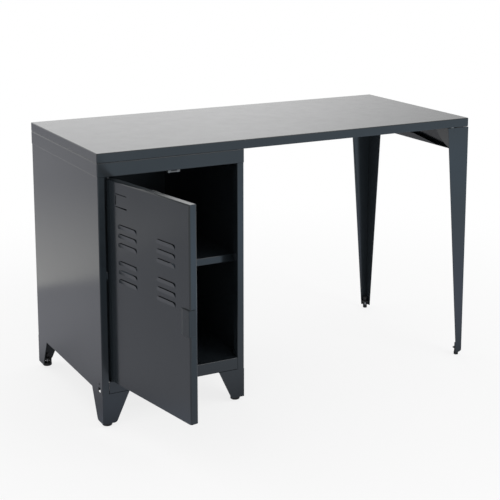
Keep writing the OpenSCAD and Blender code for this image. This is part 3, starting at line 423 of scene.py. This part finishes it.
WIDE_FEET = [(-0.5795, -0.2525), (-0.1895, -0.2525), (-0.5795, 0.2525), (-0.1895, 0.2525)]
SMALL_FEET = [(0.5885, -0.2615), (0.5885, 0.2615)]
WIDE_PAD = [(0, 0), (12.2, 0), (13.5, 1.3), (13.5, 8.0), (12.4, 9.5), (8, 10), (4.02, 10), (4.02, 6), (0, 6)]
SMALL_PAD = [(0, 0), (6.2, 0), (7, 0.8), (7, 9), (6.4, 10), (4.02, 10), (4.02, 6), (0, 6)]
PAD_STEPS = 48
STUD_CAP = [(4.3, 24), (5.2, 24), (5.6, 24.4), (5.6, 37.4), (4.6, 38.4), (0, 38.4), (0, 37.4), (4.3, 37.4),
            (4.3, 24)]
STUD_R = 4.0
ROOT_R = 3.4
PITCH = 1.25
STUD_FOOT = 6.1
STUD_TURNS = 24
THREAD_STEPS = 20
RIB_LOW = 10.4
RIB_HIGH = 20.5
RIB_STEPS = 24
WIDE_RIB = (11.0, 13.2, -73, 290)
SMALL_RIB = (5.4, 7.3, 0, 110)
CABINET_MIDDLE = -0.4


def threaded_stud(x, y):
    """A stud with a real helix: a zigzag spun once while it rises by one pitch meets its own next turn."""
    bm = bmesh.new()
    verts = []
    for i in range(2 * STUD_TURNS + 1):
        radius = STUD_R if i % 2 else ROOT_R
        verts.append(bm.verts.new((x + radius * MM, y, (STUD_FOOT + i * PITCH / 2) * MM)))
    edges = [bm.edges.new(pair) for pair in zip(verts, verts[1:])]
    bmesh.ops.spin(bm, geom=verts + edges, cent=(x, y, 0), axis=(0, 0, 1), angle=math.tau, steps=THREAD_STEPS,
                   dvec=(0, 0, PITCH * MM / THREAD_STEPS))
    bmesh.ops.remove_doubles(bm, verts=bm.verts, dist=WELD)
    bmesh.ops.holes_fill(bm, edges=bm.edges)
    bmesh.ops.recalc_face_normals(bm, faces=bm.faces)
    return bm


def insert_rib(bm, x, y, rib):
    """A round rib of the insert, open where the leg is open: its radii, and its start and arc in degrees."""
    inner, outer, start, arc = rib
    side = 1 if x < CABINET_MIDDLE else -1
    turn = math.radians(side if y > 0 else -side)
    out = Matrix.Rotation(start * turn, 3, "Z") @ Vector((side, 0, 0))
    loop = []
    for radius, height in ((inner, RIB_LOW), (outer, RIB_LOW), (outer, RIB_HIGH), (inner, RIB_HIGH)):
        loop.append(bm.verts.new(Vector((x, y, height * MM)) + out * radius * MM))
    edges = [bm.edges.new(pair) for pair in zip(loop, loop[1:] + loop[:1])]
    bmesh.ops.spin(bm, geom=loop + edges, cent=(x, y, 0), axis=(0, 0, 1), angle=arc * turn, steps=RIB_STEPS)
    bmesh.ops.holes_fill(bm, edges=[edge for edge in bm.edges if edge.is_boundary], sides=4)
    bmesh.ops.recalc_face_normals(bm, faces=bm.faces)


feet = [(x, y, WIDE_PAD, WIDE_RIB) for x, y in WIDE_FEET]
feet += [(x, y, SMALL_PAD, SMALL_RIB) for x, y in SMALL_FEET]
stud_caps = bmesh.new()
foot_ribs = bmesh.new()
for number, (x, y, profile, rib) in enumerate(feet, 1):
    pad = bmesh.new()
    turned(pad, profile, (x, y, 0), steps=PAD_STEPS)
    as_piece(pad, f"turned_pad_{number}", f"glide_pad_{number}")
    as_piece(threaded_stud(x, y), f"threaded_stud_{number}", f"glide_screw_{number}")
    turned(stud_caps, STUD_CAP, (x, y, 0))
    insert_rib(foot_ribs, x, y, rib)
as_piece(stud_caps, "stud_caps", node="foot_insert_1")
as_piece(foot_ribs, "foot_ribs", node="foot_insert_1")

# Camera, fitted to the straight edges of the desk

SENSOR = 36
FOCAL_PIXELS = 1224.49
IMAGE_PIXELS = 500
CAMERA_PLACE = (-1.6985, -3.2060, 1.3759)
CAMERA_TILT = math.radians(79.429)
CAMERA_TURN = math.radians(-27.962)

camera_data = bpy.data.cameras.new("camera")
camera_data.sensor_width = SENSOR
camera_data.lens = FOCAL_PIXELS / IMAGE_PIXELS * SENSOR
camera_data.shift_x = -0.0062
camera_data.shift_y = -0.2227
camera = bpy.data.objects.new("camera", camera_data)
camera.location = CAMERA_PLACE
camera.rotation_euler = (CAMERA_TILT, 0, CAMERA_TURN)
bpy.context.scene.collection.objects.link(camera)
bpy.context.scene.camera = camera
bpy.context.scene.view_settings.view_transform = "Standard"

# Floor. What the coat mirrors of it is a painted reflection: a base level, a cooler slope towards the front,
# soft lighter and darker painted patches, a painted bright area with a sharp near side, and a painted shade
# round the desk

FLOOR_RADIUS = 14
FLOOR_SEGMENTS = 96
FLOOR_DROP = 0.5 * MM
PLAIN_FROM = 0.9
PLAIN_AT = 2.2
PLAIN_SHARE = 0.8
# Painted reflection: the base level and the cooler slope that glossy faces mirror of the floor
PAINTED_REFLECTION_BASE = (0.57, 0.57, 0.62)
FRONT_WAY = (0.5, -0.667, 0.0)
PAINTED_REFLECTION_SLOPE = (0.20, 0.36, 0.45)
# Painted patches in the reflection, lighter and darker: middle, reach and colour
PAINTED_REFLECTION_PATCHES = [
    ((0.8, -2.1, 0.0), 1.1, (0.12, 0.26, 0.46)),
    ((2.4, -2.7, 0.0), 1.3, (0.07, 0.20, 0.35)),
    ((1.0, -0.8, 0.0), 1.0, (0.08, 0.03, 0.18)),
    ((-0.4, -1.6, 0.0), 1.1, (-0.48, -0.50, -0.52)),
    ((-0.58, -0.42, 0.0), 0.35, (0.10, 0.18, 0.30)),
    ((-0.62, -0.12, 0.0), 0.28, (-0.17, -0.17, -0.17)),
    ((-0.92, 0.75, 0.0), 0.35, (0.05, 0.05, 0.05)),
    ((-1.7, 3.3, 0.0), 1.3, (0.10, 0.10, 0.09)),
]
# A painted bright area in the reflection, with a sharp near side: middle, reach, colour and near edge
PAINTED_BRIGHT_PLACE = (-0.7, 1.1, 0.0)
PAINTED_BRIGHT_REACH = 1.9
PAINTED_BRIGHT_COLOUR = (0.57, 0.56, 0.49)
PAINTED_BRIGHT_NEAR_EDGE = (1.0, 1.06)
# A painted shade in the reflection round the desk's footprint: the footprint's half sizes, the reach and the
# darkest level
FOOTPRINT = (0.6, 0.27, 0.0)
SHADE_REACH = 0.25
SHADE_LOW = 0.05


def painted_floor_reflection(tree, place):
    """The painted reflection: the colour that glossy faces mirror at each place of the floor."""
    toward = add(tree, "VectorMath", {"operation": "DOT_PRODUCT", 1: FRONT_WAY}, {0: place})
    front = add(tree, "MapRange", None, {"Value": toward.outputs["Value"]})
    slope = add(tree, "VectorMath", {"operation": "SCALE", 0: PAINTED_REFLECTION_SLOPE},
                {"Scale": front.outputs["Result"]})
    total = add(tree, "VectorMath", {"operation": "ADD", 1: PAINTED_REFLECTION_BASE}, {0: slope.outputs[0]})
    for middle, reach, colour in PAINTED_REFLECTION_PATCHES:
        away = add(tree, "VectorMath", {"operation": "DISTANCE", 1: middle}, {0: place})
        fall = add(tree, "MapRange", {"interpolation_type": "SMOOTHSTEP", "From Max": reach, "To Min": 1.0,
                                      "To Max": 0.0}, {"Value": away.outputs["Value"]})
        patch = add(tree, "VectorMath", {"operation": "SCALE", 0: colour}, {"Scale": fall.outputs["Result"]})
        total = add(tree, "VectorMath", {"operation": "ADD"}, {0: total.outputs[0], 1: patch.outputs[0]})
    # The painted bright area in the reflection
    away = add(tree, "VectorMath", {"operation": "DISTANCE", 1: PAINTED_BRIGHT_PLACE}, {0: place})
    fall = add(tree, "MapRange", {"From Max": PAINTED_BRIGHT_REACH, "To Min": 1.0, "To Max": 0.0},
               {"Value": away.outputs["Value"]})
    axes = add(tree, "SeparateXYZ", None, {0: place})
    bright_near_edge = add(tree, "MapRange", {"interpolation_type": "SMOOTHSTEP", "From Min": PAINTED_BRIGHT_NEAR_EDGE[0],
                                  "From Max": PAINTED_BRIGHT_NEAR_EDGE[1]}, {"Value": axes.outputs["Y"]})
    level = add(tree, "Math", {"operation": "MULTIPLY"},
                {0: fall.outputs["Result"], 1: bright_near_edge.outputs["Result"]})
    painted_bright = add(tree, "VectorMath", {"operation": "SCALE", 0: PAINTED_BRIGHT_COLOUR}, {"Scale": level.outputs[0]})
    total = add(tree, "VectorMath", {"operation": "ADD"}, {0: total.outputs[0], 1: painted_bright.outputs[0]})
    # The painted shade round the desk, darkest close to its footprint
    corner = add(tree, "VectorMath", {"operation": "ABSOLUTE"}, {0: place})
    beyond = add(tree, "VectorMath", {"operation": "SUBTRACT", 1: FOOTPRINT}, {0: corner.outputs[0]})
    axes = add(tree, "SeparateXYZ", None, {0: beyond.outputs[0]})
    gap = add(tree, "Math", {"operation": "MAXIMUM"}, {0: axes.outputs["X"], 1: axes.outputs["Y"]})
    shade = add(tree, "MapRange", {"interpolation_type": "SMOOTHSTEP", "From Min": -SHADE_REACH,
                                   "From Max": SHADE_REACH, "To Min": SHADE_LOW, "To Max": 1.0},
                {"Value": gap.outputs[0]})
    total = add(tree, "VectorMath", {"operation": "SCALE"},
                {0: total.outputs[0], "Scale": shade.outputs["Result"]})
    return total.outputs[0]


def studio_floor():
    """White sweep: near the desk it takes a faint shadow, and it runs out into plain white."""
    bm = bmesh.new()
    bmesh.ops.create_circle(bm, cap_ends=True, segments=FLOOR_SEGMENTS, radius=FLOOR_RADIUS)
    bmesh.ops.translate(bm, verts=bm.verts, vec=(0, 0, -FLOOR_DROP))
    mesh = bpy.data.meshes.new("studio_floor")
    bm.to_mesh(mesh)
    bm.free()
    floor = bpy.data.objects.new("studio_floor", mesh)
    bpy.context.scene.collection.objects.link(floor)
    made, tree, shader, place = new_material("studio_white")
    shader.inputs["Base Color"].default_value = linear("#f8f8f8")
    shader.inputs["Roughness"].default_value = 1.0
    shader.inputs["Specular IOR Level"].default_value = 0.0
    plain = add(tree, "Emission", {"Color": (1, 1, 1, 1), "Strength": 1.0})
    away = add(tree, "VectorMath", {"operation": "LENGTH"}, {0: place})
    share = add(tree, "MapRange", {"interpolation_type": "SMOOTHSTEP", "From Min": PLAIN_FROM,
                                   "From Max": PLAIN_AT, "To Min": PLAIN_SHARE, "To Max": 1.0},
                {"Value": away.outputs["Value"]})
    seen = add(tree, "MixShader", None,
               {0: share.outputs["Result"], 1: shader.outputs[0], 2: plain.outputs[0]})
    # Glossy rays see the painted reflection instead of the white floor
    painted_reflection = add(tree, "Emission", {"Strength": 1.0}, {"Color": painted_floor_reflection(tree, place)})
    rays = add(tree, "LightPath")
    both = add(tree, "MixShader", None,
               {0: rays.outputs["Is Glossy Ray"], 1: seen.outputs[0], 2: painted_reflection.outputs[0]})
    tree.links.new(both.outputs[0], tree.nodes["Material Output"].inputs["Surface"])
    mesh.materials.append(made)


studio_floor()

# A soft box high up in front on the right, which the folds that face up mirror as fine bright lines

BOX_PLACE = (1.4, -2.8, 3.0)
BOX_WAY = Vector((-1.5, 2.6, -2.5))
BOX_WIDTH = 1.6
BOX_HEIGHT = 1.0
BOX_WATTS = 20

lamp_data = bpy.data.lights.new("front_soft_box", "AREA")
lamp_data.shape = "RECTANGLE"
lamp_data.size = BOX_WIDTH
lamp_data.size_y = BOX_HEIGHT
lamp_data.energy = BOX_WATTS
lamp = bpy.data.objects.new("front_soft_box", lamp_data)
lamp.location = BOX_PLACE
lamp.rotation_euler = BOX_WAY.to_track_quat("-Z", "Y").to_euler()
bpy.context.scene.collection.objects.link(lamp)

# The surroundings are brightest behind the desk on its left

BRIGHT_WAY = (-0.25, 0.95, 0.15)
BRIGHT_FROM = 0.58
BRIGHT_FULL = 0.76
WORLD_LOW = 0.74
WORLD_HIGH = 1.345


def studio_world():
    """Soft white surroundings, plain white to the camera."""
    world = bpy.data.worlds.new("studio")
    bpy.context.scene.world = world
    world.use_nodes = True
    tree = world.node_tree
    way = add(tree, "TexCoord").outputs["Generated"]
    toward = add(tree, "VectorMath", {"operation": "DOT_PRODUCT", 1: BRIGHT_WAY}, {0: way})
    level = add(tree, "MapRange", {"interpolation_type": "SMOOTHSTEP", "From Min": BRIGHT_FROM,
                                   "From Max": BRIGHT_FULL, "To Min": WORLD_LOW, "To Max": WORLD_HIGH},
                {"Value": toward.outputs["Value"]})
    around = tree.nodes["Background"]
    around.inputs["Color"].default_value = (1, 1, 1, 1)
    tree.links.new(level.outputs["Result"], around.inputs["Strength"])
    plain = add(tree, "Background", {"Color": (1, 1, 1, 1), "Strength": 1.0})
    rays = add(tree, "LightPath")
    both = add(tree, "MixShader", None,
               {0: rays.outputs["Is Camera Ray"], 1: around.outputs[0], 2: plain.outputs[0]})
    tree.links.new(both.outputs[0], tree.nodes["World Output"].inputs["Surface"])


studio_world()
